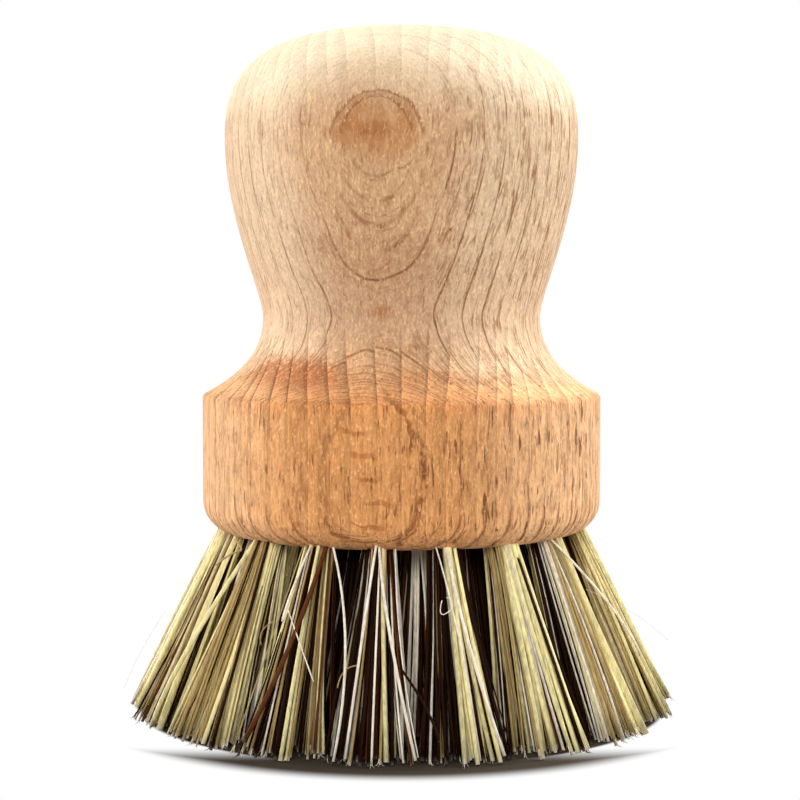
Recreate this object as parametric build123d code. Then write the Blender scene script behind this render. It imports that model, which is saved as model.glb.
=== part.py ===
from build123d import *
import math
import os

# Palm brush: a turned wooden body, tufts of stiff plant fibre set in bored holes, and a wire staple
# that holds each tuft. Millimetres and degrees, +Z up. The origin is the middle of the plane in which
# the bristle tips are trimmed, so the brush stands on its tips. The front is -Y.

# Wooden body: block, neck and knob, turned in one piece
bristle_length = 22.2        # from the trimmed tips up to the flat underside of the block
block_radius = 25.0
block_height = 17.55         # from the underside to the edge of the shoulder
underside_rounding = 3.9
shoulder_bevel = 0.9
shoulder_rise = 9.2          # from the edge of the shoulder to the narrowest place of the neck
neck_radius = 17.4
knob_rise = 22.3             # from the narrowest place to the widest
knob_radius = 22.1
crown_height = 13.5          # from the widest place to the top

# The three curves of the outline: the slope in which the shoulder starts, and for both ends of each
# curve how far it holds its direction, as a share of its own length or height
shoulder_slope = 28.5
shoulder_hold_shares = (0.43, 0.34)
flare_hold_shares = (0.14, 0.45)
crown_hold_shares = (0.61, 0.83)

# The curves are turned as short cones, which keeps the mesh light: the tighter the curve, the shorter
cone_length = 1.7
crown_cone_length = 3.4
flare_cone_length = 8.0

# Bored holes: one in the middle, then rings of 6, 12 and 18
ring_names = ("centre", "inner", "middle", "outer")
holes_per_ring = 6           # each ring has this many more than the one inside it
ring_turn = 4.4              # each ring starts this much further round than the one inside it
outer_ring_inset = 3.8       # from the side of the block to the middle of an outer hole
hole_radius = 2.0
hole_depth = 9.0
bore_sides = 12              # flats that stand for the round wall, which keeps the mesh light
bore_overrun = 3.0           # how far the boring tool still reaches out of the hole's mouth

# Tufts: a folded bundle fills the hole and opens into a fan of strands
outer_tips_radius = 29.7     # the circle in which the middles of the outer tufts end
tuft_tips_radius = 3.9       # how far each tuft has opened at its tips
bundle_sides = 6
bundle_clearance = 0.1       # between the bundle and the wood
bundle_recess = 0.8          # from the mouth of the hole in to where the bundle opens
strand_start = 1.6           # how far above the underside the strands start inside the bundle
strand_sides = 3
strand_root_radius = 0.42
strand_tip_radius = 0.85     # a strand stands for a lock of fibres, which widens as it opens
core_strands = 3
core_radius = 0.48
rim_strands = 8
rim_radius = 1.2
trim_depth = 0.5             # cut off every strand to make the tips level

# Staples: square wire, driven over the fold of the bundle into the wood
wire_width = 0.5
staple_width = 2.6
fold_thickness = 1.2         # fibre between the crown of the staple and the bottom of the hole
leg_bite = 3.0               # how far the legs go into the wood
staple_clearance = 0.05

shoulder_z = bristle_length + block_height
neck_z = shoulder_z + shoulder_rise
widest_z = neck_z + knob_rise
top_z = widest_z + crown_height
shoulder_radius = block_radius - shoulder_bevel
outer_ring_radius = block_radius - outer_ring_inset
ring_step = outer_ring_radius / (len(ring_names) - 1)
spread_share = outer_tips_radius / outer_ring_radius
fan_share = tuft_tips_radius / rim_radius
front = -90.0


def rounding_curve():
    """From the flat underside round to the side of the block."""
    start = (block_radius - underside_rounding, bristle_length)
    return JernArc(start, (1, 0), underside_rounding, 90)


def shoulder_curve():
    """From the edge of the shoulder up into the neck."""
    slope = math.radians(shoulder_slope)
    start_share, end_share = shoulder_hold_shares
    length = math.hypot(shoulder_radius - neck_radius, shoulder_rise)
    start_hold = start_share * length
    end_hold = end_share * length
    return Bezier(
        (shoulder_radius, shoulder_z),
        (shoulder_radius - start_hold * math.cos(slope), shoulder_z + start_hold * math.sin(slope)),
        (neck_radius, neck_z - end_hold),
        (neck_radius, neck_z),
    )


def flare_curve():
    """From the neck up to the widest place of the knob."""
    start_share, end_share = flare_hold_shares
    return Bezier(
        (neck_radius, neck_z),
        (neck_radius, neck_z + start_share * knob_rise),
        (knob_radius, widest_z - end_share * knob_rise),
        (knob_radius, widest_z),
    )


def crown_curve():
    """From the widest place over to the middle of the top."""
    start_share, end_share = crown_hold_shares
    return Bezier(
        (knob_radius, widest_z),
        (knob_radius, widest_z + start_share * crown_height),
        (end_share * knob_radius, top_z),
        (0, top_z),
    )


def points_on(curve, longest):
    """Points along the curve, evenly spaced and no further apart than the longest cone."""
    count = math.ceil(curve.length / longest)
    return [curve.position_at(number / count) for number in range(count + 1)]


def turned_body():
    """The block, neck and knob as they come off the lathe."""
    outline = Polyline(
        (0, bristle_length),
        *points_on(rounding_curve(), cone_length),
        (block_radius, shoulder_z - shoulder_bevel),
        *points_on(shoulder_curve(), cone_length),
        *points_on(flare_curve(), flare_cone_length)[1:],
        *points_on(crown_curve(), crown_cone_length)[1:],
        close=True,
    )
    return revolve(Plane.XZ * make_face(outline), Axis.Z)


def middle_line(ring_radius, z):
    """How far from the brush's axis the middle of a tuft lies at the height z."""
    reach = ring_radius * (spread_share - 1)
    return ring_radius + reach * (bristle_length - z) / bristle_length


def mouth_of(ring_radius):
    """Place of a hole's mouth: X along the ring, Z out of the hole and along the tuft."""
    reach = ring_radius * (spread_share - 1)
    mouth = Plane((ring_radius, 0, bristle_length), x_dir=(0, 1, 0), z_dir=(reach, 0, -bristle_length))
    return mouth.location


def bore(mouth):
    """The wood that the boring tool takes out for one tuft."""
    tool = extrude(RegularPolygon(hole_radius, bore_sides), hole_depth + bore_overrun)
    return mouth * Pos(Z=-hole_depth) * tool


def staple(mouth, clearance=0.0):
    """One staple in its hole, its legs pointed by a slanting cut, or the room for it with a clearance."""
    outside = staple_width / 2 + clearance
    inside = staple_width / 2 - wire_width - clearance
    crown_inside = fold_thickness - hole_depth - clearance
    crown_outside = fold_thickness - hole_depth + wire_width + clearance
    leg_end = -hole_depth - leg_bite - clearance
    half = [
        (outside, crown_outside),
        (outside, leg_end),
        (inside, leg_end + wire_width),
        (inside, crown_inside),
    ]
    other_half = [(-x, z) for x, z in reversed(half)]
    face = Plane.XZ * Polygon(*half, *other_half, align=None)
    return mouth * extrude(face, wire_width / 2 + clearance, both=True)


def strand(root, tip, turn):
    """One strand, the hull of its small root section and its larger tip section."""
    root_section = Pos(*root) * Rot(Z=turn) * RegularPolygon(strand_root_radius, strand_sides)
    tip_section = Pos(*tip) * Rot(Z=turn) * RegularPolygon(strand_tip_radius, strand_sides)
    corners = root_section.vertices() + tip_section.vertices()
    return ConvexPolyhedron([corner.center() for corner in corners])


def fan(ring_radius):
    """All strands of one tuft. Their offsets grow in one proportion, so that none crosses another."""
    root_z = bristle_length + strand_start
    tip_z = -trim_depth
    root_x = middle_line(ring_radius, root_z)
    tip_x = middle_line(ring_radius, tip_z)
    strands = []
    for count, radius, first in ((core_strands, core_radius, 0), (rim_strands, rim_radius, 0.5)):
        for number in range(count):
            turn = 360 * (number + first) / count
            x = radius * math.cos(math.radians(turn))
            y = radius * math.sin(math.radians(turn))
            root = (root_x + x, y, root_z)
            tip = (tip_x + fan_share * x, fan_share * y, tip_z)
            strands.append(strand(root, tip, turn))
    return strands


def tuft(ring_radius):
    """The bundle in its hole with its fan of strands, trimmed level at the tips."""
    mouth = mouth_of(ring_radius)
    section = RegularPolygon(hole_radius - bundle_clearance, bundle_sides)
    bundle = extrude(section, hole_depth - bundle_clearance - bundle_recess)
    bundle = mouth * Pos(Z=bundle_clearance - hole_depth) * bundle
    bundle = bundle - staple(mouth, staple_clearance)
    return split(bundle.fuse(*fan(ring_radius)), Plane.XY, keep=Keep.TOP)


def places():
    """Name, ring radius and turn about the brush's axis of every hole, from the centre outwards."""
    for ring, ring_name in enumerate(ring_names):
        count = max(1, ring * holes_per_ring)
        for number in range(count):
            name = f"tuft_{ring_name}_{number + 1:02d}" if ring else f"tuft_{ring_name}"
            turn = front + ring * ring_turn + 360 * number / count
            yield name, ring * ring_step, Rot(Z=turn)


def main():
    os.makedirs("parts", exist_ok=True)
    patterns = {}
    cuts = []
    staples = []
    for name, ring_radius, turn in places():
        if ring_radius not in patterns:
            patterns[ring_radius] = tuft(ring_radius)
        export_step(turn * patterns[ring_radius], f"parts/{name}.step")
        mouth = turn * mouth_of(ring_radius)
        cuts += [bore(mouth), staple(mouth, staple_clearance)]
        staples.append(staple(mouth))
    export_step(Compound(staples), "parts/staples.step")
    export_step(turned_body().cut(*cuts), "parts/handle_block.step")


main()
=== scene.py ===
import math

import bpy
import numpy as np
from bpy.props import FloatProperty, FloatVectorProperty, IntProperty, PointerProperty
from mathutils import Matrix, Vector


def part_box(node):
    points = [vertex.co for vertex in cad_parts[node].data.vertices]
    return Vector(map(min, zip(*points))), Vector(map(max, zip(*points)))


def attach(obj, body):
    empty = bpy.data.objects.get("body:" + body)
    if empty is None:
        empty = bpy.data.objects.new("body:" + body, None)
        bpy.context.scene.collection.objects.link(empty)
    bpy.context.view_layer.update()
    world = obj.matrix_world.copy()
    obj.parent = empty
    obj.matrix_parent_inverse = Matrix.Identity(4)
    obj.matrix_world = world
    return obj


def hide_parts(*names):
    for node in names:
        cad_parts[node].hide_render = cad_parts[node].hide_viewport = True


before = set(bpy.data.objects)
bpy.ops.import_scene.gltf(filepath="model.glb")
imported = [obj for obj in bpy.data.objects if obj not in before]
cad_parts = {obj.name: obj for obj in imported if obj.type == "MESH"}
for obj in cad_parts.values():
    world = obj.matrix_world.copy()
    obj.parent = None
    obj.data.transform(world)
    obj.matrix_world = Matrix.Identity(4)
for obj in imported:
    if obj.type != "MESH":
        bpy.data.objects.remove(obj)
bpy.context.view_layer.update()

# The looks of the palm brush: a turned beech body, tufts of plant fibre, and a plain studio. All is
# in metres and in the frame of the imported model: +Z up, front -Y, the brush stands on z = 0.

bl_info = {
    "name": "Palm Brush",
    "version": (1, 0, 0),
    "blender": (4, 5, 0),
    "location": "View3D > Sidebar > Palm Brush",
    "description": "Dresses the palm brush: turned beech, tufts of plant fibre, studio",
    "category": "Add Mesh",
}

MM = 0.001
BODY_LOW, BODY_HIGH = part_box("handle_block")
BRISTLE_LENGTH = BODY_LOW.z
BODY_TOP = BODY_HIGH.z
BLOCK_RADIUS = BODY_HIGH.x
RING_NAMES = ("centre", "inner", "middle", "outer")
HOLES_PER_RING = 6
FRONT = -math.pi / 2
FIBRE_SEED = 6

# The kinds of plant fibre: in words, part of all fibres, half the width in mm, screen colour
KINDS = {
    "straw": ("broad and pale", 0.30, 0.39, (252, 238, 176)),
    "cream": ("bright and thin", 0.17, 0.23, (255, 244, 224)),
    "tan": ("middling", 0.20, 0.22, (186, 158, 104)),
    "rust": ("reddish brown", 0.09, 0.28, (100, 54, 28)),
    "dark": ("almost black", 0.27, 0.27, (38, 19, 9)),
}
FIBRE_KINDS = tuple(KINDS)

# The three curves of the outline: the slope in which the shoulder starts, and for both ends of
# each curve how far it holds its direction, as a share of its own length or height
SHOULDER_SLOPE = math.radians(28.5)
SHOULDER_HOLDS = (0.43, 0.34)
FLARE_HOLDS = (0.14, 0.45)
CROWN_HOLDS = (0.61, 0.83)

# The wood's growth rings, in mm: how far left and in front of the brush's axis their middle lies,
# its distance from the front of the wood, and the height of the ovals' middle. Then the number of
# knife marks round the body
PITH_ASIDE = 7.75
PITH_AHEAD = 57.0
PITH_TO_FRONT = 38.0
HEART_MIDDLE = 69.8
KNIFE_MARKS = 57.0

# Sides of a fibre, a sliver at its cut end and a stray fibre, and the sections along them
FIBRE_SIDES, FIBRE_SECTIONS = 5, 7
SLIVER_SIDES, SLIVER_SECTIONS = 3, 4
STRAY_SIDES, STRAY_SECTIONS = 6, 14

# A fibre's thickness over its width, where along it the bend lies and how much bends scatter. Then,
# as shares of a tuft's spread, how much tips scatter, the most they reach, and the reach along the
# ring
FIBRE_FLATNESS, SLIVER_FLATNESS = 0.62, 0.8
BEND_ALONG, BEND_SCATTER = 0.33, 0.45 * MM
TIP_SCATTER, TIP_LIMIT, RING_STRETCH = 0.16, 1.04, 1.12

# Slivers: the share of fibres that have them, how many each has, how far before the tip they leave
# it, their lengths in mm, half their width, and the lowest place that they reach
FRAYED_SHARE, SLIVERS_EACH = 0.3, 3
SLIVER_START, SLIVER_LENGTHS = 0.7 * MM, (0.15, 0.6)
SLIVER_HALF_WIDTH, SLIVER_LOWEST = 0.09 * MM, 0.03 * MM

# Fibres that left their tuft on the front: kind, half width, start, middle and end, in mm
STRAYS = (
    ("cream", 0.09, (-13.0, -25.2, 16.3), (-11.6, -27.3, 12.9), (-9.8, -29.9, 8.7)),
    ("cream", 0.16, (-8.4, -19.9, 24.0), (-6.3, -28.7, 13.2), (-7.5, -33.5, 0.6)),
    ("cream", 0.17, (-2.7, -21.4, 24.0), (-3.8, -27.5, 17.5), (-6.2, -33.6, 0.9)),
    ("cream", 0.19, (-2.6, -21.4, 24.0), (-1.6, -28.9, 15.5), (1.5, -34.3, 0.9)),
    ("cream", 0.14, (-2.4, -21.5, 24.0), (-3.0, -30.7, 9.1), (-3.3, -34.1, 0.6)),
    ("cream", 0.20, (5.0, -21.0, 24.0), (7.0, -28.5, 14.5), (11.3, -32.5, 1.0)),
    ("cream", 0.10, (3.5, -21.3, 24.0), (5.7, -27.9, 16.4), (7.9, -32.0, 5.5)),
    ("cream", 0.08, (-0.7, -21.5, 24.0), (-0.2, -29.3, 13.3), (1.8, -34.1, 1.2)),
    ("dark", 0.17, (-0.2, -31.0, 10.5), (2.5, -32.5, 6.6), (4.1, -33.9, 2.9)),
    ("tan", 0.08, (-7.1, -30.9, 8.2), (-6.4, -30.4, 9.9), (-5.0, -30.4, 10.6)),
    ("cream", 0.15, (16.4, -14.1, 24.0), (24.5, -14.4, 15.2), (28.7, -12.8, 8.4)),
    ("cream", 0.02, (-29.0, -8.4, 12.9), (-32.8, -2.1, 7.0), (-35.0, -2.3, 2.2)),
    ("cream", 0.02, (21.6, -18.2, 17.2), (28.0, -10.3, 13.2), (33.6, -2.4, 8.3)),
    ("tan", 0.13, (-22.0, -15.7, 19.7), (-20.4, -16.9, 21.0), (-18.8, -18.2, 21.8)),
    ("tan", 0.13, (-18.8, -18.4, 21.8), (-18.9, -17.9, 22.3), (-19.7, -16.6, 22.9)),
    ("tan", 0.07, (-15.9, -25.6, 12.0), (-15.9, -25.0, 13.4), (-14.5, -25.2, 14.7)),
    ("cream", 0.06, (4.5, -28.1, 17.5), (4.4, -28.7, 16.1), (5.4, -28.4, 16.4)),
    ("cream", 0.06, (5.4, -28.4, 16.4), (5.7, -28.0, 17.3), (5.0, -28.0, 17.8)),
    ("straw", 0.30, (-16.3, -13.9, 24.0), (-24.9, -18.9, 10.5), (-29.5, -17.0, 0.9)),
    ("rust", 0.30, (-8.3, -19.9, 24.0), (-12.3, -27.0, 12.9), (-17.6, -29.2, 1.8)),
    ("cream", 0.16, (-9.9, -19.2, 24.0), (-12.4, -24.4, 18.2), (-13.5, -25.6, 14.7)),
)


def paint(red, green, blue):
    """A screen colour, 0 to 255, as the linear colour with full opacity that a shader takes."""
    screen = np.array([red, green, blue]) / 255
    linear = np.where(screen <= 0.04045, screen / 12.92, ((screen + 0.055) / 1.055) ** 2.4)
    return (*linear.tolist(), 1.0)


def amount(name, description, default, **limits):
    return FloatProperty(name=name, description=description, default=default, **limits)


def length(name, description, default):
    return amount(name, description, default, precision=5, unit="LENGTH")


def share(name, description, default):
    return amount(name, description, default, min=0.0, max=1.0)


def degrees(name, description, default):
    return amount(name, description, math.radians(default), subtype="ANGLE")


def colour(name, description, default):
    look = {"size": 4, "min": 0.0, "max": 1.0, "subtype": "COLOR"}
    return FloatVectorProperty(name=name, description=description, default=default, **look)


class BodySettings(bpy.types.PropertyGroup):
    """Outline of the turned body and the look of its wood."""

    underside_rounding: length("Underside rounding", "Radius of the block's lower edge", 3.9 * MM)
    block_height: length("Block height", "From the underside to the shoulder's edge", 17.55 * MM)
    shoulder_bevel: length("Shoulder bevel", "How far the edge of the shoulder is broken", 0.9 * MM)
    shoulder_rise: length("Shoulder rise", "From the shoulder's edge to the neck", 9.2 * MM)
    neck_radius: length("Neck radius", "Radius at the narrowest place", 17.4 * MM)
    knob_radius: length("Knob radius", "Radius at the widest place", 22.1 * MM)
    crown_height: length("Crown height", "From the widest place to the top", 13.5 * MM)
    hole_radius: length("Hole radius", "Radius of the bored holes", 2.0 * MM)
    hole_depth: length("Hole depth", "Depth of the bored holes", 9.0 * MM)
    ring_width: length("Growth ring", "Width of one year's growth", 2.45 * MM)
    fine_ring_width: length("Fine ring", "Width of the fainter lines between the rings", 0.62 * MM)
    knob_colour: colour("Knob colour", "Wood of the knob and neck", paint(212, 166, 124))
    # Painted light: the crown and the knob's sides paler, where the lamps light them most
    crown_colour: colour("Crown colour", "Paler wood over the crown", paint(252, 230, 198))
    block_colour: colour("Block colour", "More orange wood of the block", paint(220, 152, 92))
    # Painted light: the paler sides of the block, where the side lamps and sheen light it
    side_colour: colour("Side colour", "Paler wood at the sides of the block", paint(250, 198, 146))
    line_colour: colour("Line colour", "Late wood at the end of each ring", paint(150, 88, 42))
    heart_colour: colour("Heart colour", "Patch in the middle of the ovals", paint(184, 118, 62))
    fleck_colour: colour("Fleck colour", "Pores and ray flecks", paint(132, 74, 36))
    stain_colour: colour("Stain colour", "Reddish streak on the shoulder", paint(178, 102, 52))
    # Painted highlight: the colour of raised fibres that catch the light
    fuzz_and_highlight_colour: colour("Fuzz colour", "Raised fibres that catch the light", paint(250, 216, 160))


class FibreSettings(bpy.types.PropertyGroup):
    """Mix, sizes and lie of the plant fibres."""

    fibres: IntProperty(name="Fibres", description="Fibre ends in one tuft", default=116, min=1)
    outer_ring_inset: length("Outer ring inset", "From the block's side to an outer hole", 3.8 * MM)
    outer_tips_radius: length("Outer tips", "Circle in which the outer tufts end", 29.7 * MM)
    tuft_tips_radius: length("Tuft spread", "How far a tuft has opened at its tips", 4.3 * MM)
    bundle_radius: length("Bundle radius", "Radius of the bundle in its hole", 1.75 * MM)
    grip: length("Grip", "How far up in the hole the fibres start", 2.2 * MM)
    raggedness: length("Raggedness", "How uneven the cut ends are", 0.9 * MM)
    locks: IntProperty(
        name="Locks", description="Places in a tuft where a lock of one kind is", default=12, min=1
    )
    lock_share: share("Lock share", "Part of the fibres that belongs to a lock", 0.6)
    ring_turn: degrees("Ring turn", "How much further round each ring starts", 4.4)


for kind, (words, part, half_width, screen_colour) in KINDS.items():
    title = kind.title()
    FibreSettings.__annotations__.update({
        f"{kind}_share": share(f"{title} share", f"Part of the fibres: {words}", part),
        f"{kind}_width": length(f"{title} width", f"Half the width: {words}", half_width * MM),
        f"{kind}_colour": colour(f"{title} colour", f"Fibres: {words}", paint(*screen_colour)),
    })


class StudioSettings(bpy.types.PropertyGroup):
    """Floor, lamps and camera."""

    floor_radius: length("Floor radius", "Radius of the pale floor", 1.6)
    floor_colour: colour("Floor colour", "Plain pale floor", (0.6, 0.6, 0.6, 1.0))
    # Painted shadow: the floor's colour close to the brush
    shade_colour: colour("Shade colour", "Floor close to the brush", (0.058, 0.045, 0.033, 1.0))
    lens: amount("Lens", "Focal length in mm on a 36 mm sensor", 83.1)
    camera_distance: length("Camera distance", "In front of the brush's axis", 233.2 * MM)
    camera_height: length("Camera height", "Above the floor", 50.7 * MM)
    camera_aside: length("Camera aside", "How far left of the brush's axis", 0.19 * MM)
    camera_pitch: degrees("Camera pitch", "How far it looks down", 3.0)
    surroundings: amount("Surroundings", "Light from all round", 0.2)
    top_lamp: amount("Top lamp", "Light from above", 0.8)
    side_lamp: amount("Side lamps", "Light from each side", 0.86)
    front_lamp: amount("Front lamp", "Light from the front", 0.64)


# Shader maths


class Value:
    """A number in a material. Its operators add Math nodes, so that 1 - mask works."""

    def __init__(self, maker, socket):
        self.maker = maker
        self.socket = socket

    def math(self, operation, *others):
        inputs = dict(enumerate((self, *others)))
        return self.maker.value("ShaderNodeMath", {"operation": operation}, inputs)

    def __add__(self, other):
        return self.math("ADD", other)

    __radd__ = __add__

    def __sub__(self, other):
        return self.math("SUBTRACT", other)

    def __rsub__(self, other):
        return (self * -1.0).math("ADD", other)

    def __mul__(self, other):
        return self.math("MULTIPLY", other)

    __rmul__ = __mul__

    def __truediv__(self, other):
        return self.math("DIVIDE", other)

    def fraction(self):
        return self.math("FRACT")

    def size(self):
        return self.math("ABSOLUTE")

    def rise(self, low, high):
        """From 0 below low to 1 above high, smooth between them."""
        settings = {"interpolation_type": "SMOOTHSTEP"}
        inputs = {"Value": self, "From Min": low, "From Max": high}
        return self.maker.value("ShaderNodeMapRange", settings, inputs)

    def fall(self, low, high):
        """From 1 below low to 0 above high, smooth between them."""
        return 1 - self.rise(low, high)


class Maker:
    """Adds nodes to a new material or world."""

    def __init__(self, owner, shader_name="Principled BSDF"):
        self.owner = owner
        owner.use_nodes = True
        self.tree = owner.node_tree
        self.shader = self.tree.nodes[shader_name]

    def fill(self, node, inputs):
        """Gives sockets their values or links; each is named, or numbered where names repeat."""
        for key, given in inputs.items():
            source = given.socket if isinstance(given, Value) else given
            if isinstance(source, bpy.types.NodeSocket):
                self.tree.links.new(source, node.inputs[key])
            else:
                node.inputs[key].default_value = source

    def node(self, kind, settings=None, inputs=None):
        """Adds a node: its settings first, then the values or links of its sockets."""
        node = self.tree.nodes.new(kind)
        for key, given in (settings or {}).items():
            if key == "stops":
                self.set_stops(node.color_ramp, given)
            else:
                setattr(node, key, given)
        self.fill(node, inputs or {})
        return node

    def set_stops(self, ramp, stops):
        while len(ramp.elements) < len(stops):
            ramp.elements.new(1.0)
        for element, (position, stop_colour) in zip(ramp.elements, stops):
            element.position = position
            element.color = stop_colour

    def value(self, kind, settings=None, inputs=None, output=0):
        return Value(self, self.node(kind, settings, inputs).outputs[output])

    def place(self):
        """Object coordinates in millimetres."""
        coordinates = self.node("ShaderNodeTexCoord").outputs["Object"]
        return self.scaled(coordinates, 1 / MM)

    def scaled(self, vector, factor):
        """A vector or colour times one number, which may vary."""
        inputs = {0: vector, "Scale": factor}
        return self.node("ShaderNodeVectorMath", {"operation": "SCALE"}, inputs).outputs[0]

    def stretched(self, vector, factors):
        """A vector times three numbers."""
        inputs = {0: vector, 1: factors}
        return self.node("ShaderNodeVectorMath", {"operation": "MULTIPLY"}, inputs).outputs[0]

    def parts(self, vector):
        outputs = self.node("ShaderNodeSeparateXYZ", None, {0: vector}).outputs
        return [Value(self, output) for output in outputs]

    def joined(self, x, y, z):
        return self.node("ShaderNodeCombineXYZ", None, {0: x, 1: y, 2: z}).outputs[0]

    def noise(self, vector, scale, detail=2.0):
        """Smooth noise round 0, mostly between -0.3 and 0.3."""
        inputs = {"Vector": vector, "Scale": scale, "Detail": detail}
        return self.value("ShaderNodeTexNoise", None, inputs) - 0.5

    def attribute(self, name):
        return self.value("ShaderNodeAttribute", {"attribute_name": name}, output="Fac")

    def mix(self, factor, first, second):
        """The first colour where factor is 0, the second where it is 1."""
        inputs = {0: factor, 6: first, 7: second}
        return self.node("ShaderNodeMix", {"data_type": "RGBA"}, inputs).outputs[2]

    def seen(self):
        """1 for rays that show the background: from the camera, off metal and through glass."""
        path = self.node("ShaderNodeLightPath").outputs
        kinds = ("Is Camera Ray", "Is Glossy Ray", "Is Transmission Ray")
        camera, glossy, through = (Value(self, path[kind]) for kind in kinds)
        return camera.math("MAXIMUM", glossy).math("MAXIMUM", through)

    def bump(self, height, depth):
        """The normal of a surface that rises by depth where height rises from 0 to 1."""
        inputs = {"Height": height, "Distance": depth}
        return self.node("ShaderNodeBump", None, inputs).outputs[0]


# Meshes


def bezier(points, count):
    """Points on a cubic curve: each control point weighted by its Bernstein polynomial."""
    share_along = np.linspace(0, 1, count)[:, None]
    rest = 1 - share_along
    start, first, second, end = np.array(points)
    return (
        rest**3 * start
        + 3 * rest**2 * share_along * first
        + 3 * rest * share_along**2 * second
        + share_along**3 * end
    )


def held_curve(start, leave, end, arrive, count):
    """A cubic curve. Its inner control points lie at leave from start and at arrive from end."""
    return bezier([start, np.add(start, leave), np.add(end, arrive), end], count)


def circle(count):
    """Cosines and sines of so many even steps round."""
    turn = np.linspace(0, 2 * math.pi, count, endpoint=False)
    return np.cos(turn), np.sin(turn)


def body_outline(body):
    """Radius and height of the turned body from the middle of its underside to its top.

    A flat underside, a quarter circle, the straight side, a short curve over the broken edge, and
    three cubic curves: the shoulder into the neck, the flare of the knob and the crown.
    """
    shoulder_z = BRISTLE_LENGTH + body.block_height
    neck_z = shoulder_z + body.shoulder_rise
    widest_z = BODY_TOP - body.crown_height
    knob_rise = widest_z - neck_z
    shoulder_radius = BLOCK_RADIUS - body.shoulder_bevel
    slope = np.array((math.cos(SHOULDER_SLOPE), -math.sin(SHOULDER_SLOPE)))
    flat_end = BLOCK_RADIUS - body.underside_rounding
    flat = np.linspace((0, BRISTLE_LENGTH), (flat_end, BRISTLE_LENGTH), 24)
    turn = np.linspace(0, math.pi / 2, 20)[:, None]
    middle = np.array((flat_end, BRISTLE_LENGTH + body.underside_rounding))
    rounding = middle + body.underside_rounding * np.hstack([np.sin(turn), -np.cos(turn)])
    side_top = (BLOCK_RADIUS, shoulder_z - body.shoulder_bevel)
    side = np.linspace(rounding[-1], side_top, 20)
    edge_end = (shoulder_radius, shoulder_z)
    neck = (body.neck_radius, neck_z)
    widest = (body.knob_radius, widest_z)
    lead = 0.55 * body.shoulder_bevel
    edge = held_curve(side_top, (0, lead), edge_end, lead * slope, 8)
    span = math.hypot(shoulder_radius - body.neck_radius, body.shoulder_rise)
    low_hold, high_hold = np.array(SHOULDER_HOLDS) * span
    shoulder = held_curve(edge_end, -low_hold * slope, neck, (0, -high_hold), 28)
    low_hold, high_hold = np.array(FLARE_HOLDS) * knob_rise
    flare = held_curve(neck, (0, low_hold), widest, (0, -high_hold), 32)
    low_hold, high_hold = np.array(CROWN_HOLDS) * (body.crown_height, body.knob_radius)
    crown = held_curve(widest, (0, low_hold), (0, BODY_TOP), (high_hold, 0), 48)
    stretches = [flat, rounding[1:], side[1:], edge[1:], shoulder[1:], flare[1:], crown[1:]]
    return np.vstack(stretches)


def add_object(name, data):
    added = bpy.data.objects.new(name, data)
    bpy.context.scene.collection.objects.link(added)
    return added


def add_mesh(name, vertices, faces):
    mesh = bpy.data.meshes.new(name)
    mesh.from_pydata(vertices, [], faces)
    return add_object(name, mesh)


def new_piece(name, vertices, faces):
    """A smooth mesh object that rides on the body."""
    piece = add_mesh(name, vertices, faces)
    piece.data.shade_smooth()
    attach(piece, "root")
    return piece


def turned_mesh(outline, around):
    """The outline turned about +Z: x = r cos t, y = r sin t, z = z, with one point at each pole."""
    cos, sin = circle(around)
    radius = outline[1:-1, 0][:, None]
    height = outline[1:-1, 1][:, None]
    rings = np.stack([radius * cos, radius * sin, height + 0 * cos], axis=-1)
    poles = np.array([(0, 0, outline[0, 1]), (0, 0, outline[-1, 1])])
    vertices = np.vstack([rings.reshape(-1, 3), poles])
    low_pole, high_pole = len(vertices) - 2, len(vertices) - 1
    last = low_pole - around
    sides = [(here, (here + 1) % around) for here in range(around)]
    faces = tube_faces(len(rings), around).tolist()
    faces += [(low_pole, following, here) for here, following in sides]
    faces += [(high_pole, last + here, last + following) for here, following in sides]
    return vertices, faces


def tube_faces(rings, sides):
    """Quads between rings of points, facing outwards where the rings turn to the left as seen from
    the end of the tube."""
    ring, side = np.meshgrid(np.arange(rings - 1), np.arange(sides), indexing="ij")
    following = (side + 1) % sides
    corners = [ring * sides + side, ring * sides + following]
    corners += [(ring + 1) * sides + following, (ring + 1) * sides + side]
    return np.stack(corners, axis=-1).reshape(-1, 4)


def unit(vectors):
    """Each vector over its length."""
    return vectors / np.linalg.norm(vectors, axis=-1, keepdims=True)


def turned(points, angle):
    """Points turned about +Z."""
    cos = math.cos(angle)
    sin = math.sin(angle)
    return points @ np.array([(cos, sin, 0), (-sin, cos, 0), (0, 0, 1)])


def holes(fibre):
    """Node name, radius of its ring and turn about the axis of every hole."""
    outer = BLOCK_RADIUS - fibre.outer_ring_inset
    for ring, ring_name in enumerate(RING_NAMES):
        count = max(1, ring * HOLES_PER_RING)
        for number in range(count):
            name = f"tuft_{ring_name}_{number + 1:02d}" if ring else f"tuft_{ring_name}"
            turn = FRONT + ring * fibre.ring_turn + 2 * math.pi * number / count
            yield name, outer * ring / (len(RING_NAMES) - 1), turn


def hole_frame(fibre, ring_radius):
    """Middle of a hole's mouth, the direction out of it, and the two directions across it."""
    outer = BLOCK_RADIUS - fibre.outer_ring_inset
    reach = ring_radius * (fibre.outer_tips_radius / outer - 1)
    mouth = np.array((ring_radius, 0, BRISTLE_LENGTH))
    out = np.array((reach, 0, -BRISTLE_LENGTH))
    out = out / np.linalg.norm(out)
    along_ring = np.array((0.0, 1.0, 0.0))
    return mouth, out, np.cross(out, along_ring), along_ring


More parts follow.
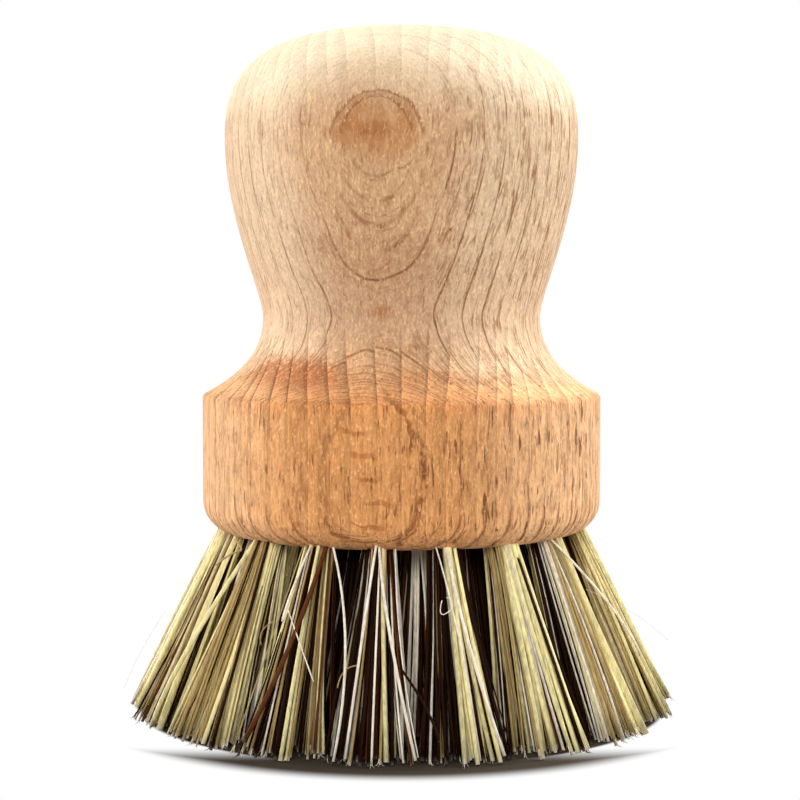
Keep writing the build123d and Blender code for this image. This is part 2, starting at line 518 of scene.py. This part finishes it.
def bore_tools(body, fibre):
    """Closed cylinders in all holes, as one mesh."""
    sides = 32
    cos, sin = circle(sides)
    vertices = []
    faces = []
    for _, ring_radius, angle in holes(fibre):
        mouth, out, across, along_ring = hole_frame(fibre, ring_radius)
        rim = body.hole_radius * (np.outer(cos, across) + np.outer(sin, along_ring))
        tool = np.vstack([mouth - body.hole_depth * out + rim, mouth + 3 * MM * out + rim])
        first = len(vertices) * len(tool)
        vertices.append(turned(tool, angle))
        faces += (first + tube_faces(2, sides)).tolist()
        faces.append([first + side for side in reversed(range(sides))])
        faces.append([first + sides + side for side in range(sides)])
    return np.vstack(vertices), faces


def bored(piece, body, fibre):
    """Bores all holes into the piece and keeps their rims sharp."""
    vertices, faces = bore_tools(body, fibre)
    tools = add_mesh("bore_tools", vertices, faces)
    cut = piece.modifiers.new("bores", "BOOLEAN")
    cut.operation = "DIFFERENCE"
    cut.solver = "EXACT"
    cut.object = tools
    graph = bpy.context.evaluated_depsgraph_get()
    mesh = bpy.data.meshes.new_from_object(piece.evaluated_get(graph))
    piece.modifiers.clear()
    piece.data = mesh
    bpy.data.objects.remove(tools)
    mesh.shade_smooth()
    mesh.set_sharp_from_angle(angle=math.radians(32))


def fibre_mesh(paths, half_widths, flatness, twist, sides):
    """Fibres as tubes of flattened section, carried along their paths.

    paths is fibre x section x 3. A section is an ellipse, half_width wide and flatness times as
    thick, square to the path and turned about it by twist. Both ends are closed.
    """
    fibres, sections, _ = paths.shape
    heading = unit(np.gradient(paths, axis=1))
    reference = np.array((0.31, 0.95, 0.05))
    wide = unit(np.cross(heading, reference))
    thick = np.cross(heading, wide)
    cos = np.cos(twist)[:, None, None]
    sin = np.sin(twist)[:, None, None]
    wide, thick = cos * wide + sin * thick, cos * thick - sin * wide
    width = half_widths[:, :, None, None]
    cos, sin = circle(sides)
    ring = cos[:, None] * wide[:, :, None, :]
    ring = ring + flatness * sin[:, None] * thick[:, :, None, :]
    vertices = paths[:, :, None, :] + width * ring
    starts = (np.arange(fibres) * sections * sides)[:, None, None]
    walls = (starts + tube_faces(sections, sides)[None]).reshape(-1, 4)
    first_ring = starts[:, 0] + np.arange(sides)[::-1]
    last_ring = starts[:, 0] + (sections - 1) * sides + np.arange(sides)
    return vertices.reshape(-1, 3), walls.tolist() + first_ring.tolist() + last_ring.tolist()


def curved_paths(starts, middles, ends, sections):
    """Quadratic curves from starts to ends, drawn towards middles."""
    along = np.linspace(0, 1, sections)[None, :, None]
    rest = 1 - along
    starts, middles, ends = starts[:, None], middles[:, None], ends[:, None]
    return rest**2 * starts + 2 * rest * along * middles + along**2 * ends


def looks_of(kinds, shade, along, sides):
    """Per-vertex looks: the fibre's kind and shade, and how far along it a section lies.

    along is fibre x section, and each section has as many vertices as sides.
    """
    each = along.shape[1] * sides
    return {
        "kind": np.repeat((kinds + 0.5) / len(FIBRE_KINDS), each),
        "shade": np.repeat(shade, each),
        "along": np.repeat(along, sides),
    }


def kinds_of(fibre, disc, pale, random):
    """A kind for each fibre by the shares, with the pale kinds multiplied by pale.

    Most fibres take the kind of the nearest of a few places in the tuft: locks of one kind.
    """
    shares = np.array([getattr(fibre, f"{kind}_share") for kind in FIBRE_KINDS])
    shares[:3] *= pale ** np.array((1.3, 0.3, 1.0))
    shares /= shares.sum()
    lock_kinds = random.choice(len(FIBRE_KINDS), size=fibre.locks, p=shares)
    lock_places = random.uniform(-1, 1, (fibre.locks, 2))
    nearest = np.linalg.norm(disc[:, None] - lock_places, axis=2).argmin(axis=1)
    own = random.choice(len(FIBRE_KINDS), size=len(disc), p=shares)
    return np.where(random.uniform(0, 1, len(disc)) < fibre.lock_share, lock_kinds[nearest], own)


def tuft_arrays(fibre, ring_radius, angle, pale, random):
    """Vertices, faces and per-vertex looks of one tuft, its fibres and their frayed ends.

    The fibres start on a sunflower disc in the hole, leave along the hole's axis, and bend out to
    the same disc widened at the tips.
    """
    count = fibre.fibres
    number = np.arange(count)
    disc_radius = np.sqrt((number + 0.5) / count)
    disc_turn = number * math.pi * (3 - math.sqrt(5)) + random.uniform(0, 2 * math.pi)
    disc = np.stack([disc_radius * np.cos(disc_turn), disc_radius * np.sin(disc_turn)], axis=-1)
    mouth, out, across, along_ring = hole_frame(fibre, ring_radius)
    outer = BLOCK_RADIUS - fibre.outer_ring_inset
    starts = mouth - fibre.grip * out
    starts = starts + fibre.bundle_radius * (disc[:, :1] * across + disc[:, 1:] * along_ring)
    squared = disc_radius / (disc**4).sum(axis=1) ** 0.25
    opened = disc * squared[:, None] + random.normal(0, TIP_SCATTER, disc.shape)
    opened = np.clip(opened, -TIP_LIMIT, TIP_LIMIT)
    tip_middle = np.array((ring_radius * fibre.outer_tips_radius / outer, 0, 0))
    ends = np.zeros((count, 3)) + tip_middle
    ends[:, :2] += fibre.tuft_tips_radius * opened * (1.0, RING_STRETCH)
    ends[:, 2] = fibre.raggedness * random.beta(1.2, 2.5, count)
    span = np.linalg.norm(ends - starts, axis=1, keepdims=True)
    spread = (1.35 * fibre.bundle_radius) * (opened[:, :1] * across + opened[:, 1:] * along_ring)
    middles = mouth + BEND_ALONG * span * out + spread
    middles = middles + random.normal(0, BEND_SCATTER, (count, 3))
    paths = curved_paths(starts, middles, ends, FIBRE_SECTIONS)
    kinds = kinds_of(fibre, disc, pale, random)
    widths = np.array([getattr(fibre, f"{kind}_width") for kind in FIBRE_KINDS])[kinds]
    widths = widths * (0.4 + 1.1 * random.beta(1.4, 2.4, count))
    half_widths = widths[:, None] * np.linspace(0.8, 1.0, FIBRE_SECTIONS)
    twist = random.uniform(0, math.pi, count)
    vertices, faces = fibre_mesh(paths, half_widths, FIBRE_FLATNESS, twist, FIBRE_SIDES)
    shade = random.uniform(0, 1, count)
    along = np.linspace(0, 1, FIBRE_SECTIONS) * np.ones((count, 1))
    looks = looks_of(kinds, shade, along, FIBRE_SIDES)
    fray_vertices, fray_faces, fray_looks = fray_arrays(paths, widths, kinds, shade, random)
    looks = {key: np.concatenate([looks[key], fray_looks[key]]) for key in looks}
    faces += [[len(vertices) + corner for corner in face] for face in fray_faces]
    vertices = np.vstack([vertices, fray_vertices])
    vertices[:, 2] = np.maximum(vertices[:, 2], 0)
    return turned(vertices, angle), faces, looks


def fray_arrays(paths, widths, kinds, shade, random):
    """Short slivers at the cut ends: each leaves a fibre just above its tip and bends aside."""
    frayed = random.uniform(0, 1, len(paths)) < FRAYED_SHARE
    chosen = np.repeat(np.nonzero(frayed)[0], SLIVERS_EACH)
    tips = paths[chosen, -1]
    heading = unit(tips - paths[chosen, -2])
    aside = unit(random.normal(0, 1, tips.shape))
    starts = tips - SLIVER_START * heading + 0.5 * widths[chosen, None] * aside
    middles = tips + 0.1 * MM * heading + 0.6 * widths[chosen, None] * aside
    lengths = random.uniform(*SLIVER_LENGTHS, (len(chosen), 1)) * MM
    ends = middles + lengths * (heading + 0.9 * aside)
    ends[:, 2] = np.maximum(ends[:, 2], SLIVER_LOWEST)
    slivers = curved_paths(starts, middles, ends, SLIVER_SECTIONS)
    slivers[:, :, 2] = np.maximum(slivers[:, :, 2], SLIVER_LOWEST)
    taper = np.linspace(1.0, 0.25, SLIVER_SECTIONS)
    thin = SLIVER_HALF_WIDTH * taper * np.ones((len(chosen), 1))
    straight = np.zeros(len(chosen))
    vertices, faces = fibre_mesh(slivers, thin, SLIVER_FLATNESS, straight, SLIVER_SIDES)
    dark = kinds[chosen] > FIBRE_KINDS.index("tan")
    own_kind = random.uniform(0, 1, len(chosen)) < np.where(dark, 0.85, 0.5)
    sliver_kinds = np.where(own_kind, kinds[chosen], FIBRE_KINDS.index("cream"))
    along = np.ones((len(chosen), SLIVER_SECTIONS))
    return vertices, faces, looks_of(sliver_kinds, shade[chosen], along, SLIVER_SIDES)


def add_looks(piece, looks):
    """Stores per-vertex numbers that the fibre material reads."""
    for name, values in looks.items():
        attribute = piece.data.attributes.new(name, "FLOAT", "POINT")
        attribute.data.foreach_set("value", values.astype(np.float32))


# Materials


class Beech(Maker):
    """Untreated flat-sawn beech, cut by growth rings whose middle lies in front of the brush.

    The distance from that middle, bent a little by noise, gives the rings, which the turned surface
    cuts in ovals, arcs and saddles. All lines are divided by the slope of that cut, so that they
    stay thin where the surface runs along a ring. Marks of the turning knife step the lines and
    paint light and shade in bands on the shoulder and the crown. Lengths are in mm, and the masks
    go from 0 to 1.
    """

    def __init__(self, body):
        super().__init__(bpy.data.materials.new("beech_wood"))
        self.body = body
        self.spot = self.place()
        self.x, self.y, self.z = self.parts(self.spot)
        # Noise of raised fibres: it bumps the surface and bends the rings a little, and sets
        # painted highlights and shade
        self.fuzz_and_highlight = self.in_place((4.8, 4.8, 2.2), 3.0)
        self.cloud = self.noise(self.spot, 0.11)
        self.mottle = self.noise(self.spot, 0.45).rise(-0.25, 0.2)
        self.front = self.y.fall(-10.0, 0.0)
        self.right = self.x.rise(-4.0, 12.0)
        self.block = (self.z + self.cloud * 5.0).fall(39.8, 43.6)
        self.calm = 1 - self.z.rise(70.0, 80.0) * 0.65
        self.mark_knife()
        self.measure_rings()
        self.close_heart()
        self.follow_grain()

    def colour(self, name):
        return tuple(getattr(self.body, f"{name}_colour"))

    def tint(self, amount, base, name):
        """The base colour with an amount of one of the wood's colours over it."""
        return self.mix(amount, base, self.colour(name))

    def level(self, start, full, last, end):
        """1 between two heights, with soft ends."""
        return self.z.rise(start, full) * self.z.fall(last, end)

    def oval(self, middle_x, middle_z, half_width, half_height, inner, outer):
        """1 within the inner share of an oval and 0 beyond the outer share."""
        across = (self.x - middle_x) / half_width
        up = (self.z - middle_z) / half_height
        return (across * across + up * up).math("SQRT").fall(inner, outer)

    def mark_knife(self):
        """Marks of the knife round the axis, which widen towards it and are irregular."""
        spread = (self.x * self.x + self.y * self.y).math("SQRT").math("MAXIMUM", 13.0)
        spread = (spread / (BLOCK_RADIUS / MM)).math("POWER", -1.5)
        turn = self.x.math("ARCTAN2", self.y * spread * -1.0)
        round_about = self.joined(turn.math("SINE") * 9.0, turn.math("COSINE") * 9.0, 0.0)
        uneven = self.noise(round_about, 1.0, 0.0) * 1.7
        self.mark = (turn * (KNIFE_MARKS / (2 * math.pi)) + uneven).fraction()
        self.shoulder = self.level(37.0, 40.0, 41.5, 50.0)
        low = self.z.fall(38.0, 39.5)
        # How strong the knife marks are where they step the rings, bump the surface and set painted
        # light and shade
        self.knife = self.shoulder + self.z.rise(73.0, 80.0) * 0.5 + low * 0.5 + 0.06
        self.knife_edge = self.mark.rise(0.8, 1.0) * (self.shoulder + low * 0.25 + 0.03)

    def measure_rings(self):
        """Distance from the middle of the rings, and the slope at which the surface cuts them.

        At the neck the rings are pushed out, which closes the oval above it and the arch below it.
        """
        aside = self.x + PITH_ASIDE
        ahead = self.y + PITH_AHEAD
        straight = (aside * aside + ahead * ahead).math("SQRT")
        normal_x, normal_y, normal_z = self.parts(self.node("ShaderNodeTexCoord").outputs["Normal"])
        facing = (normal_x * aside + normal_y * ahead) / straight
        self.slope = (1 - facing * facing).math("MAXIMUM", 0.02).math("SQRT")
        warp = self.in_place((0.10, 0.10, 0.08), 3.0)
        off_knob = (self.z - 66.0).size().rise(4.0, 18.0)
        beside = (self.x + 2.0).size().rise(4.0, 14.0)
        self.saddle = (self.z - 50.0).size().fall(4.0, 12.0) * (1 - beside)
        bent = straight + warp * (off_knob * (beside + 0.2) * 1.2 + 0.45)
        bent = bent - self.saddle * (self.z.fall(47.0, 52.0) * 0.2 + 0.66)
        self.distance = bent + (self.mark - 0.5) * self.knife * 0.4 + self.fuzz_and_highlight * 0.06
        bearing = aside.math("ARCTAN2", ahead) * PITH_TO_FRONT
        self.grain = self.joined(bearing, self.z, self.distance)

    def close_heart(self):
        """The distance, lengthened below and above the heart, whose edge it closes."""
        below = (HEART_MIDDLE - self.z).math("MAXIMUM", 0.0) * 0.13
        above = (self.z - HEART_MIDDLE).math("MAXIMUM", 0.0) * 0.125
        self.heart_reach = self.distance + self.fuzz_and_highlight * 0.2 + below + above
        self.heart = self.heart_reach.fall(36.0, 36.7) * self.front

    def in_place(self, factors, detail):
        """Noise with so many waves per mm along x, y and z."""
        return self.noise(self.stretched(self.spot, factors), 1.0, detail)

    def along_grain(self, factors, detail=1.0):
        """Noise with so many waves per mm round the rings, along the grain and across the rings."""
        return self.noise(self.stretched(self.grain, factors), 1.0, detail)

    def follow_grain(self):
        self.broken = self.along_grain((0.34, 0.34, 0.8), 2.0)
        self.pores = self.along_grain((3.0, 0.42, 3.0))
        self.streak = self.along_grain((2.6, 0.5, 2.6), 3.0)

    def off_line(self, width, phase):
        """Distance from the nearest of a family of ring lines, width apart, on the surface."""
        ring = ((self.distance - phase) / width + 0.5).fraction()
        return (ring - 0.5).size() * width / self.slope

    def ring_lines(self):
        """Dark late wood, fine lines and hairs between, and the arcs under the heart."""
        off_ring = self.off_line(self.body.ring_width / MM, 36.0)
        late = off_ring.fall(0.03, 0.17) * (self.broken + self.saddle * 0.3).rise(-0.24, 0.04)
        late = late * (1 - self.distance.fall(36.4, 36.9) * self.z.rise(64.0, 66.0))
        ridge = self.along_grain((0.11, 0.11, 1.35)).size() / self.slope
        fine = ridge.fall(0.01, 0.06) * self.broken.rise(-0.1, 0.14)
        hair = self.along_grain((0.34, 0.26, 2.9)).size() / self.slope
        hairs = hair.fall(0.02, 0.13) * self.along_grain((0.7, 0.34, 1.6)).rise(-0.06, 0.12)
        arc = self.off_line(0.56, 35.93).fall(0.06, 0.34) * self.broken.rise(-0.08, 0.08)
        arc = arc * (self.mottle * 0.6 + 0.4) * (self.x + 2.6).size().fall(2.5, 5.5)
        arc = arc * self.level(55.0, 58.0, 66.0, 68.5) * self.front
        line = (late * 0.7 + fine * 0.6 + hairs * 0.45) * (self.calm - self.block * 0.3)
        line = line * (self.right * 0.4 + 0.6) + arc * 0.8
        neck_line = off_ring.fall(0.06, 0.3) * self.saddle * self.front
        line = line + neck_line * (self.mottle * 0.2 + 0.15)
        curled = off_ring.fall(0.08, 0.36) * self.z.fall(25.0, 28.0) * self.broken.rise(-0.3, -0.05)
        return line + curled * 0.55 + fine * self.z.fall(25.0, 27.5) * 0.4

    def shoulder_layers(self):
        """Thin layers that the low slope of the shoulder lays bare."""
        layer = ((self.distance / (self.body.fine_ring_width / MM)).fraction() - 0.5).size()
        return layer.fall(0.06, 0.2) * self.level(38.0, 39.6, 42.0, 48.0)

    def dashes(self):
        """Short dark slits along the grain, most of them on the block."""
        dash = self.pores.rise(0.14, 0.21) * self.broken.rise(-0.14, 0.1)
        dash = dash * (self.right * 0.2 + self.block * 0.7) * self.calm
        slits = self.along_grain((1.6, 0.27, 2.0)).rise(0.16, 0.21)
        return dash.math("MAXIMUM", slits * self.block * (self.right * 0.7 + 0.3))

    def block_rungs(self):
        """Short level lines one above the other in the middle of the block's front."""
        beside = ((self.x + 3.9 + self.cloud * 9.0) / 2.6).size()
        rung = (((self.z + self.broken * 1.5 + 0.4) / 2.7).fraction() - 0.5).size()
        return rung.fall(0.07, 0.15) * beside.fall(0.4, 1.0) * self.block * self.z.fall(37.0, 38.0)

    def block_border(self):
        """Torn grain round the rungs, in the outline of a barrel."""
        height = self.z - 31.0
        bulge = height * height * 0.05 - 6.0
        off_border = ((self.x + 3.4 + self.broken * 2.0).size() + bulge).size()
        torn = self.in_place((1.3, 1.3, 0.8), 2.0).rise(-0.16, 0.02)
        border = off_border.fall(0.15, 0.75) * torn * self.block * self.front
        return border * (self.x.rise(-4.0, 0.0) * 0.35 + 0.5)

    def plain_colour(self):
        """Orange block and tan knob; painted light pales their sides and the crown."""
        # Painted light: the crown, and the knob's sides and back away from the rings' middle, paler
        # where lamps light them
        crown = (self.z + self.cloud * 8.0).rise(70.0, 82.0)
        painted_light = self.distance.rise(36.5, 43.0) * 0.45 + crown * 0.9
        # Painted light: the block paler towards its sides, where the side lamps and sheen light it
        block_with_painted_side_light = self.tint(self.distance.rise(33.5, 46.0) * 0.7, self.colour("block"), "side")
        base = self.mix(self.block, self.colour("knob"), block_with_painted_side_light)
        return self.tint((painted_light * (1 - self.block)).math("MINIMUM", 1.0), base, "crown")

    def with_heart(self, base):
        """The heart's bands and dark spot, and the two arches over it."""
        bands = ((self.z + self.cloud * 6.0) / 2.1).math("SINE") * 0.5 + 0.5
        bands = bands * self.z.rise(66.0, 69.0)
        filled = self.heart * (self.mottle * 0.35 + bands * 0.45 + 0.1)
        base = self.tint(filled * (self.z.rise(65.5, 70.5) * 0.6 + 0.4), base, "heart")
        spot = self.oval(-3.0, 70.4, 2.4, 1.3, 0.2, 1.2)
        base = self.tint(spot * self.front * (self.mottle * 0.3 + 0.25), base, "line")
        off_edge = (self.heart_reach - 36.3).size() / self.slope
        arch = off_edge.fall(0.1, 0.9) * self.z.rise(69.0, 73.5)
        arch_lines = (off_edge - 0.6).size().fall(0.05, 0.3) * self.z.rise(68.5, 72.0)
        return self.tint((arch * 0.3 + arch_lines * 0.65) * self.front, base, "line")

    def with_stains(self, base):
        """Reddish places: the shoulder's stain and smears, the strip under its edge, the smudge on
        the neck, the knife's edges and the rungs."""
        stain = self.oval(-13.0, 42.4 - self.streak * 2.0, 8.0, 2.6, 0.3, 1.1)
        smudge = self.oval(-2.2, 49.6, 1.9, 1.1, 0.2, 1.2) * (self.mottle * 0.6 + 0.4)
        smear = (self.z + self.cloud * 3.0 + self.streak * 1.5 - 41.9).size().fall(0.1, 1.0)
        smear = smear * self.in_place((0.13, 0.13, 0.02), 2.0).rise(-0.06, 0.12)
        strip = self.level(36.5, 39.0, 39.3, 39.9) * (self.broken + 0.7)
        reddish = (stain * 2.3).math("MAXIMUM", smudge * 1.6) * self.front
        reddish = reddish.math("MAXIMUM", smear * 0.6).math("MAXIMUM", strip) * 0.38
        reddish = reddish + self.knife_edge * 0.3 + self.block_rungs() * self.front * 0.65
        return self.tint(reddish + self.saddle * self.front * 0.18, base, "stain")

    def shading(self):
        """Random variation, and painted light and shade, as a factor on the colour."""
        # Random variation from the cloud; raised fibres painted lighter and darker
        shading = 1.0 + self.cloud * 0.2 + self.fuzz_and_highlight * (0.75 - self.block * 0.15)
        # Random variation along the block's streaks; painted light on the shoulder, which the lamps
        # leave dim
        shading = shading + self.streak * self.block * 0.55 + self.shoulder * 0.26
        # Painted light and shade on the knife's facets, lighter at one edge and darker towards the
        # next
        shading = shading + (0.62 - self.mark) * self.knife * (self.shoulder * 0.2 + 0.42)
        # Painted light on the foot of the block, as if thrown up from the floor; painted shade on
        # the neck's front under the knob
        return shading + self.z.fall(24.0, 29.0) * 0.12 - self.saddle * self.front * 0.11


def beech_material(body):
    """The wood's colour, laid over from the widest marks to the finest, and its bumps."""
    beech = Beech(body)
    line = beech.ring_lines()
    dash = beech.dashes()
    border = beech.block_border()
    base = beech.with_heart(beech.plain_colour())
    patches = beech.in_place((0.55, 0.55, 0.4), 3.0).rise(0.05, 0.2)
    base = beech.tint(patches * beech.block * beech.front * 0.24, base, "line")
    base = beech.with_stains(base)
    base = beech.tint((0 - beech.streak).rise(0.0, 0.26) * beech.calm * 0.26, base, "line")
    # Painted highlights: pale strokes along the grain, as raised fibres catch the light
    pale = beech.streak.rise(0.0, 0.25) * (0.5 - beech.block * 0.35) * (1 - beech.heart * 0.6)
    base = beech.tint(pale, base, "fuzz_and_highlight")
    base = beech.tint(border, base, "line")
    base = beech.tint(beech.shoulder_layers() * (beech.broken + 0.45) * 0.9, base, "line")
    base = beech.tint(line.math("MINIMUM", 0.85), base, "line")
    base = beech.tint(beech.pores.rise(0.12, 0.22) * beech.calm * 0.3, base, "fleck")
    base = beech.tint(dash, base, "fleck")
    # Painted highlights on raised fibres, spread at random
    base = beech.tint(beech.fuzz_and_highlight.rise(0.06, 0.26) * (1 - beech.heart * 0.4) * 0.5, base, "fuzz_and_highlight")
    height = beech.fuzz_and_highlight + beech.streak * 0.8 - line * 0.7 - border * 0.7 - dash * 0.6
    height = height - beech.knife_edge * 0.8 - beech.mark * beech.knife * 1.2
    inputs = {
        # The colour times random variation and painted light and shade
        "Base Color": beech.scaled(base, beech.shading()),
        "Roughness": 0.8,
        "Normal": beech.bump(height, 0.18 * MM),
        "Specular IOR Level": 0.15,
        "Sheen Weight": 0.22,
        "Sheen Tint": paint(255, 236, 208),
    }
    beech.fill(beech.shader, inputs)
    return beech.owner


def fibre_material(fibre):
    """Plant fibre: one colour for each kind, uneven along its length, paler at the cut end."""
    maker = Maker(bpy.data.materials.new("mixed_fibre"))
    stops = []
    for number, kind in enumerate(FIBRE_KINDS):
        stops.append((number / len(FIBRE_KINDS), tuple(getattr(fibre, f"{kind}_colour"))))
    ramp = maker.node("ShaderNodeValToRGB", {"stops": stops}, {0: maker.attribute("kind")})
    ramp.color_ramp.interpolation = "CONSTANT"
    shade = maker.attribute("shade")
    streak = maker.noise(maker.stretched(maker.place(), (2.5, 2.5, 0.35)), 1.0)
    base = maker.scaled(ramp.outputs[0], 0.66 + shade * 0.46 + streak * 0.9)
    cut = maker.attribute("along").rise(0.98, 1.0)
    pale_kind = 1 - maker.attribute("kind").rise(0.55, 0.65)
    base = maker.mix(cut * (pale_kind * 0.5 + 0.12), base, tuple(fibre.cream_colour))
    inputs = {
        "Base Color": base,
        "Roughness": 0.55 + streak * 0.3,
        "Normal": maker.bump(streak, 0.08 * MM),
        "Specular IOR Level": 0.03,
    }
    maker.fill(maker.shader, inputs)
    return maker.owner


def wire_material():
    """Bright drawn steel wire with faint marks along it."""
    maker = Maker(bpy.data.materials.new("drawn_wire"))
    marks = maker.noise(maker.place(), 6.0)
    base = maker.mix(marks.rise(-0.2, 0.3), paint(150, 148, 146), paint(196, 194, 190))
    inputs = {"Base Color": base, "Metallic": 1.0, "Roughness": 0.34 + marks * 0.2}
    maker.fill(maker.shader, inputs)
    return maker.owner


def floor_material(studio):
    """Pale floor with a painted shadow near the brush; white to the camera away from the brush."""
    maker = Maker(bpy.data.materials.new("pale_floor"))
    x, y = maker.parts(maker.place())[:2]
    reach = (x * x + y * y).math("SQRT")
    # Painted shadow: the floor dark close to the brush, pale beyond 60 mm
    base = maker.mix(reach.rise(38.0, 60.0), tuple(studio.shade_colour), tuple(studio.floor_colour))
    inputs = {"Base Color": base, "Roughness": 0.9, "Specular IOR Level": 0.05}
    maker.fill(maker.shader, inputs)
    away = reach.rise(36.3, 40.3)
    away = away.math("MAXIMUM", y.rise(-31.0, -24.0) * reach.rise(32.6, 33.4))
    glow = maker.node("ShaderNodeEmission", None, {"Color": (1, 1, 1, 1), "Strength": 1.0})
    inputs = {0: away * maker.seen(), 1: maker.shader.outputs[0], 2: glow.outputs[0]}
    mixed = maker.node("ShaderNodeMixShader", None, inputs)
    output = maker.tree.nodes["Material Output"]
    maker.tree.links.new(mixed.outputs[0], output.inputs["Surface"])
    return maker.owner


# Operators


class TurnBody(bpy.types.Operator):
    """Turns the beech body and bores the holes for its tufts"""

    bl_idname = "palm_brush.turn_body"
    bl_label = "Turn the body"

    def execute(self, context):
        body = context.scene.palm_brush_body
        vertices, faces = turned_mesh(body_outline(body), 320)
        piece = new_piece("turned_body", vertices, faces)
        bored(piece, body, context.scene.palm_brush_fibre)
        piece.data.materials.append(beech_material(body))
        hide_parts("handle_block")
        return {"FINISHED"}


class SetTufts(bpy.types.Operator):
    """Sets a tuft of plant fibres in each hole"""

    bl_idname = "palm_brush.set_tufts"
    bl_label = "Set the tufts"

    def execute(self, context):
        fibre = context.scene.palm_brush_fibre
        material = fibre_material(fibre)
        for number, (node, ring_radius, angle) in enumerate(holes(fibre)):
            random = np.random.default_rng((FIBRE_SEED, number))
            outermost = "outer" in node
            pale = 0.3 + 1.9 * abs(math.cos(angle)) ** 1.2 if outermost else 0.2
            pale *= random.uniform(0.7, 1.4)
            vertices, faces, looks = tuft_arrays(fibre, ring_radius, angle, pale, random)
            piece = new_piece(node.replace("tuft", "fibres"), vertices, faces)
            add_looks(piece, looks)
            piece.data.materials.append(material)
            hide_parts(node)
        return {"FINISHED"}


class LayStrays(bpy.types.Operator):
    """Lays the fibres that left their tuft"""

    bl_idname = "palm_brush.lay_strays"
    bl_label = "Lay the stray fibres"

    def execute(self, context):
        kinds = np.array([FIBRE_KINDS.index(stray[0]) for stray in STRAYS])
        half_widths = MM * np.array([stray[1] for stray in STRAYS])
        starts, middles, ends = MM * np.array([stray[2:] for stray in STRAYS]).transpose(1, 0, 2)
        count = len(kinds)
        paths = curved_paths(starts, 2 * middles - (starts + ends) / 2, ends, STRAY_SECTIONS)
        half_widths = half_widths[:, None] * np.linspace(0.9, 1.0, STRAY_SECTIONS)
        straight = np.zeros(count)
        vertices, faces = fibre_mesh(paths, half_widths, SLIVER_FLATNESS, straight, STRAY_SIDES)
        piece = new_piece("stray_fibres", vertices, faces)
        along = np.linspace(0, 1, STRAY_SECTIONS) * np.ones((count, 1))
        add_looks(piece, looks_of(kinds, np.full(count, 0.6), along, STRAY_SIDES))
        piece.data.materials.append(fibre_material(context.scene.palm_brush_fibre))
        return {"FINISHED"}


class FinishStaples(bpy.types.Operator):
    """Gives the staples their wire"""

    bl_idname = "palm_brush.finish_staples"
    bl_label = "Finish the staples"

    def execute(self, context):
        material = wire_material()
        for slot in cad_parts["staples"].material_slots:
            slot.material = material
        return {"FINISHED"}


class BuildStudio(bpy.types.Operator):
    """Lays the floor, hangs the lamps and places the camera"""

    bl_idname = "palm_brush.build_studio"
    bl_label = "Build the studio"

    def execute(self, context):
        studio = context.scene.palm_brush_studio
        lay_floor(studio)
        hang_lamps(context.scene, studio)
        place_camera(context.scene, studio)
        return {"FINISHED"}


def lay_floor(studio):
    """A flat disc under the brush."""
    cos, sin = circle(96)
    rim = studio.floor_radius * np.stack([cos, sin, 0 * cos], axis=-1)
    floor = add_mesh("floor", rim, [list(range(len(rim)))])
    floor.data.materials.append(floor_material(studio))


def hang_lamp(name, place, size, brightness):
    """A square lamp that looks at the brush. Brightness is what it alone adds to a white surface
    that faces it: its power over the square of pi times the distance."""
    middle = np.array((0, 0, 45 * MM))
    lamp = bpy.data.lights.new(name, "AREA")
    lamp.size = size
    distance = np.linalg.norm(np.array(place) - middle)
    lamp.energy = brightness * (math.pi * distance) ** 2
    holder = add_object(name, lamp)
    holder.location = place
    down = (middle - np.array(place)) / distance
    holder.rotation_euler = (math.acos(-down[2]), 0, math.atan2(down[1], down[0]) - math.pi / 2)


def hang_lamps(scene, studio):
    world = bpy.data.worlds.new("surroundings")
    scene.world = world
    maker = Maker(world, "Background")
    strength = maker.seen() * (1 - studio.surroundings) + studio.surroundings
    maker.fill(maker.shader, {"Color": (1, 1, 1, 1), "Strength": strength})
    hang_lamp("top_lamp", (0.26, 0.25, 0.66), 0.35, studio.top_lamp)
    hang_lamp("left_lamp", (-0.6, 0.235, 0.19), 0.4, studio.side_lamp)
    hang_lamp("right_lamp", (0.6, 0.235, 0.19), 0.4, 0.95 * studio.side_lamp)
    hang_lamp("front_lamp", (-0.10, -0.64, 0.40), 0.4, studio.front_lamp)


def place_camera(scene, studio):
    camera = bpy.data.cameras.new("camera")
    camera.lens = studio.lens
    camera.sensor_width = 36
    camera.clip_start = 0.01
    holder = add_object("camera", camera)
    holder.location = (-studio.camera_aside, -studio.camera_distance, studio.camera_height)
    holder.rotation_euler = (math.pi / 2 - studio.camera_pitch, 0, 0)
    scene.camera = holder
    scene.view_settings.view_transform = "Standard"


OPERATORS = (TurnBody, SetTufts, LayStrays, FinishStaples, BuildStudio)
SETTINGS = {
    "palm_brush_body": BodySettings,
    "palm_brush_fibre": FibreSettings,
    "palm_brush_studio": StudioSettings,
}


class PalmBrushPanel(bpy.types.Panel):
    """Lists the steps that dress the brush"""

    bl_idname = "VIEW3D_PT_palm_brush"
    bl_label = "Palm Brush"
    bl_space_type = "VIEW_3D"
    bl_region_type = "UI"
    bl_category = "Palm Brush"

    def draw(self, context):
        for operator in OPERATORS:
            self.layout.operator(operator.bl_idname)
        for name, group in SETTINGS.items():
            settings = getattr(context.scene, name)
            box = self.layout.box()
            for key in group.__annotations__:
                box.prop(settings, key)


CLASSES = (*SETTINGS.values(), *OPERATORS, PalmBrushPanel)


def register():
    for kind in CLASSES:
        bpy.utils.register_class(kind)
    for name, group in SETTINGS.items():
        setattr(bpy.types.Scene, name, PointerProperty(type=group))


def unregister():
    for name in SETTINGS:
        delattr(bpy.types.Scene, name)
    for kind in reversed(CLASSES):
        bpy.utils.unregister_class(kind)


def main():
    register()
    bpy.ops.palm_brush.turn_body()
    bpy.ops.palm_brush.set_tufts()
    bpy.ops.palm_brush.lay_strays()
    bpy.ops.palm_brush.finish_staples()
    bpy.ops.palm_brush.build_studio()


if __name__ == "__main__":
    main()
